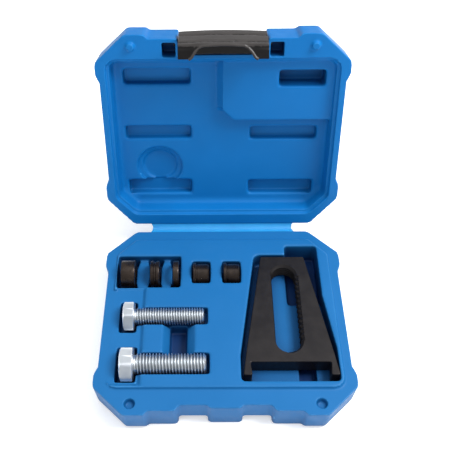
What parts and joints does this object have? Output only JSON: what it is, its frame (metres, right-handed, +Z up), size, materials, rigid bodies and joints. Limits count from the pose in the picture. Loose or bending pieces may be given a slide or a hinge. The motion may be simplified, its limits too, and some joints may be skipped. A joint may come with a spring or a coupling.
{
  "type": "ball joint separator set",
  "caption": "Forked separator frame with slot, two forcing screws, rings and bushes, seated in an open hinged plastic box with a latch.",
  "frame": {"origin": "centre of the flat underside of the base half", "axes": "+Z up out of the base, +Y towards the hinge, +X to the right seen from the latch side"},
  "size_m": [0.144, 0.1771, 0.1472],
  "materials": {
    "base_plastic": "blue, fine satin texture",
    "lid_plastic": "blue, fine satin texture",
    "web_plastic": "brighter thin blue web",
    "latch_plastic": "black, fine satin texture",
    "black_oxide": "black oxide, satin",
    "dark_steel": "turned steel, black oxide",
    "zinc": "bright zinc plate"
  },
  "bodies": {
    "base": {"base_shell": "base_plastic", "base_tray": "base_plastic", "hinge_leaf_base": "web_plastic"},
    "lid": {"lid_shell": "lid_plastic", "lid_tray": "lid_plastic", "hinge_leaf_lid": "web_plastic"},
    "latch": {"latch": "latch_plastic"},
    "separator_frame": {"separator_frame": "black_oxide"},
    "screw_m10": {"screw_m10": "zinc"},
    "screw_m12": {"screw_m12": "zinc"},
    "ring_wide": {"ring_wide": "dark_steel"},
    "ring_medium": {"ring_medium": "dark_steel"},
    "ring_thin": {"ring_thin": "dark_steel"},
    "bush_plain": {"bush_plain": "dark_steel"},
    "bush_stepped": {"bush_stepped": "dark_steel"}
  },
  "joints": [
    {"name": "lid_hinge", "type": "hinge", "parent": "base", "child": "lid", "pos_m": [0, 0.066, 0.01815], "axis": [-1, 0, 0], "range_deg": [-104, 76]},
    {"name": "latch_pivot", "type": "hinge", "parent": "lid", "child": "latch", "pos_m": [0, 0.10015, 0.13589], "axis": [-1, 0, 0], "range_deg": [0, 100]},
    {"name": "separator_frame_lift", "type": "slide", "parent": "base", "child": "separator_frame", "axis": [0, 0, 1], "range_m": [0, 0.05]},
    {"name": "screw_m10_lift", "type": "slide", "parent": "base", "child": "screw_m10", "axis": [0, 0, 1], "range_m": [0, 0.05]},
    {"name": "screw_m12_lift", "type": "slide", "parent": "base", "child": "screw_m12", "axis": [0, 0, 1], "range_m": [0, 0.05]},
    {"name": "ring_wide_lift", "type": "slide", "parent": "base", "child": "ring_wide", "axis": [0, 0, 1], "range_m": [0, 0.05]},
    {"name": "ring_medium_lift", "type": "slide", "parent": "base", "child": "ring_medium", "axis": [0, 0, 1], "range_m": [0, 0.05]},
    {"name": "ring_thin_lift", "type": "slide", "parent": "base", "child": "ring_thin", "axis": [0, 0, 1], "range_m": [0, 0.05]},
    {"name": "bush_plain_lift", "type": "slide", "parent": "base", "child": "bush_plain", "axis": [0, 0, 1], "range_m": [0, 0.05]},
    {"name": "bush_stepped_lift", "type": "slide", "parent": "base", "child": "bush_stepped", "axis": [0, 0, 1], "range_m": [0, 0.05]}
  ]
}
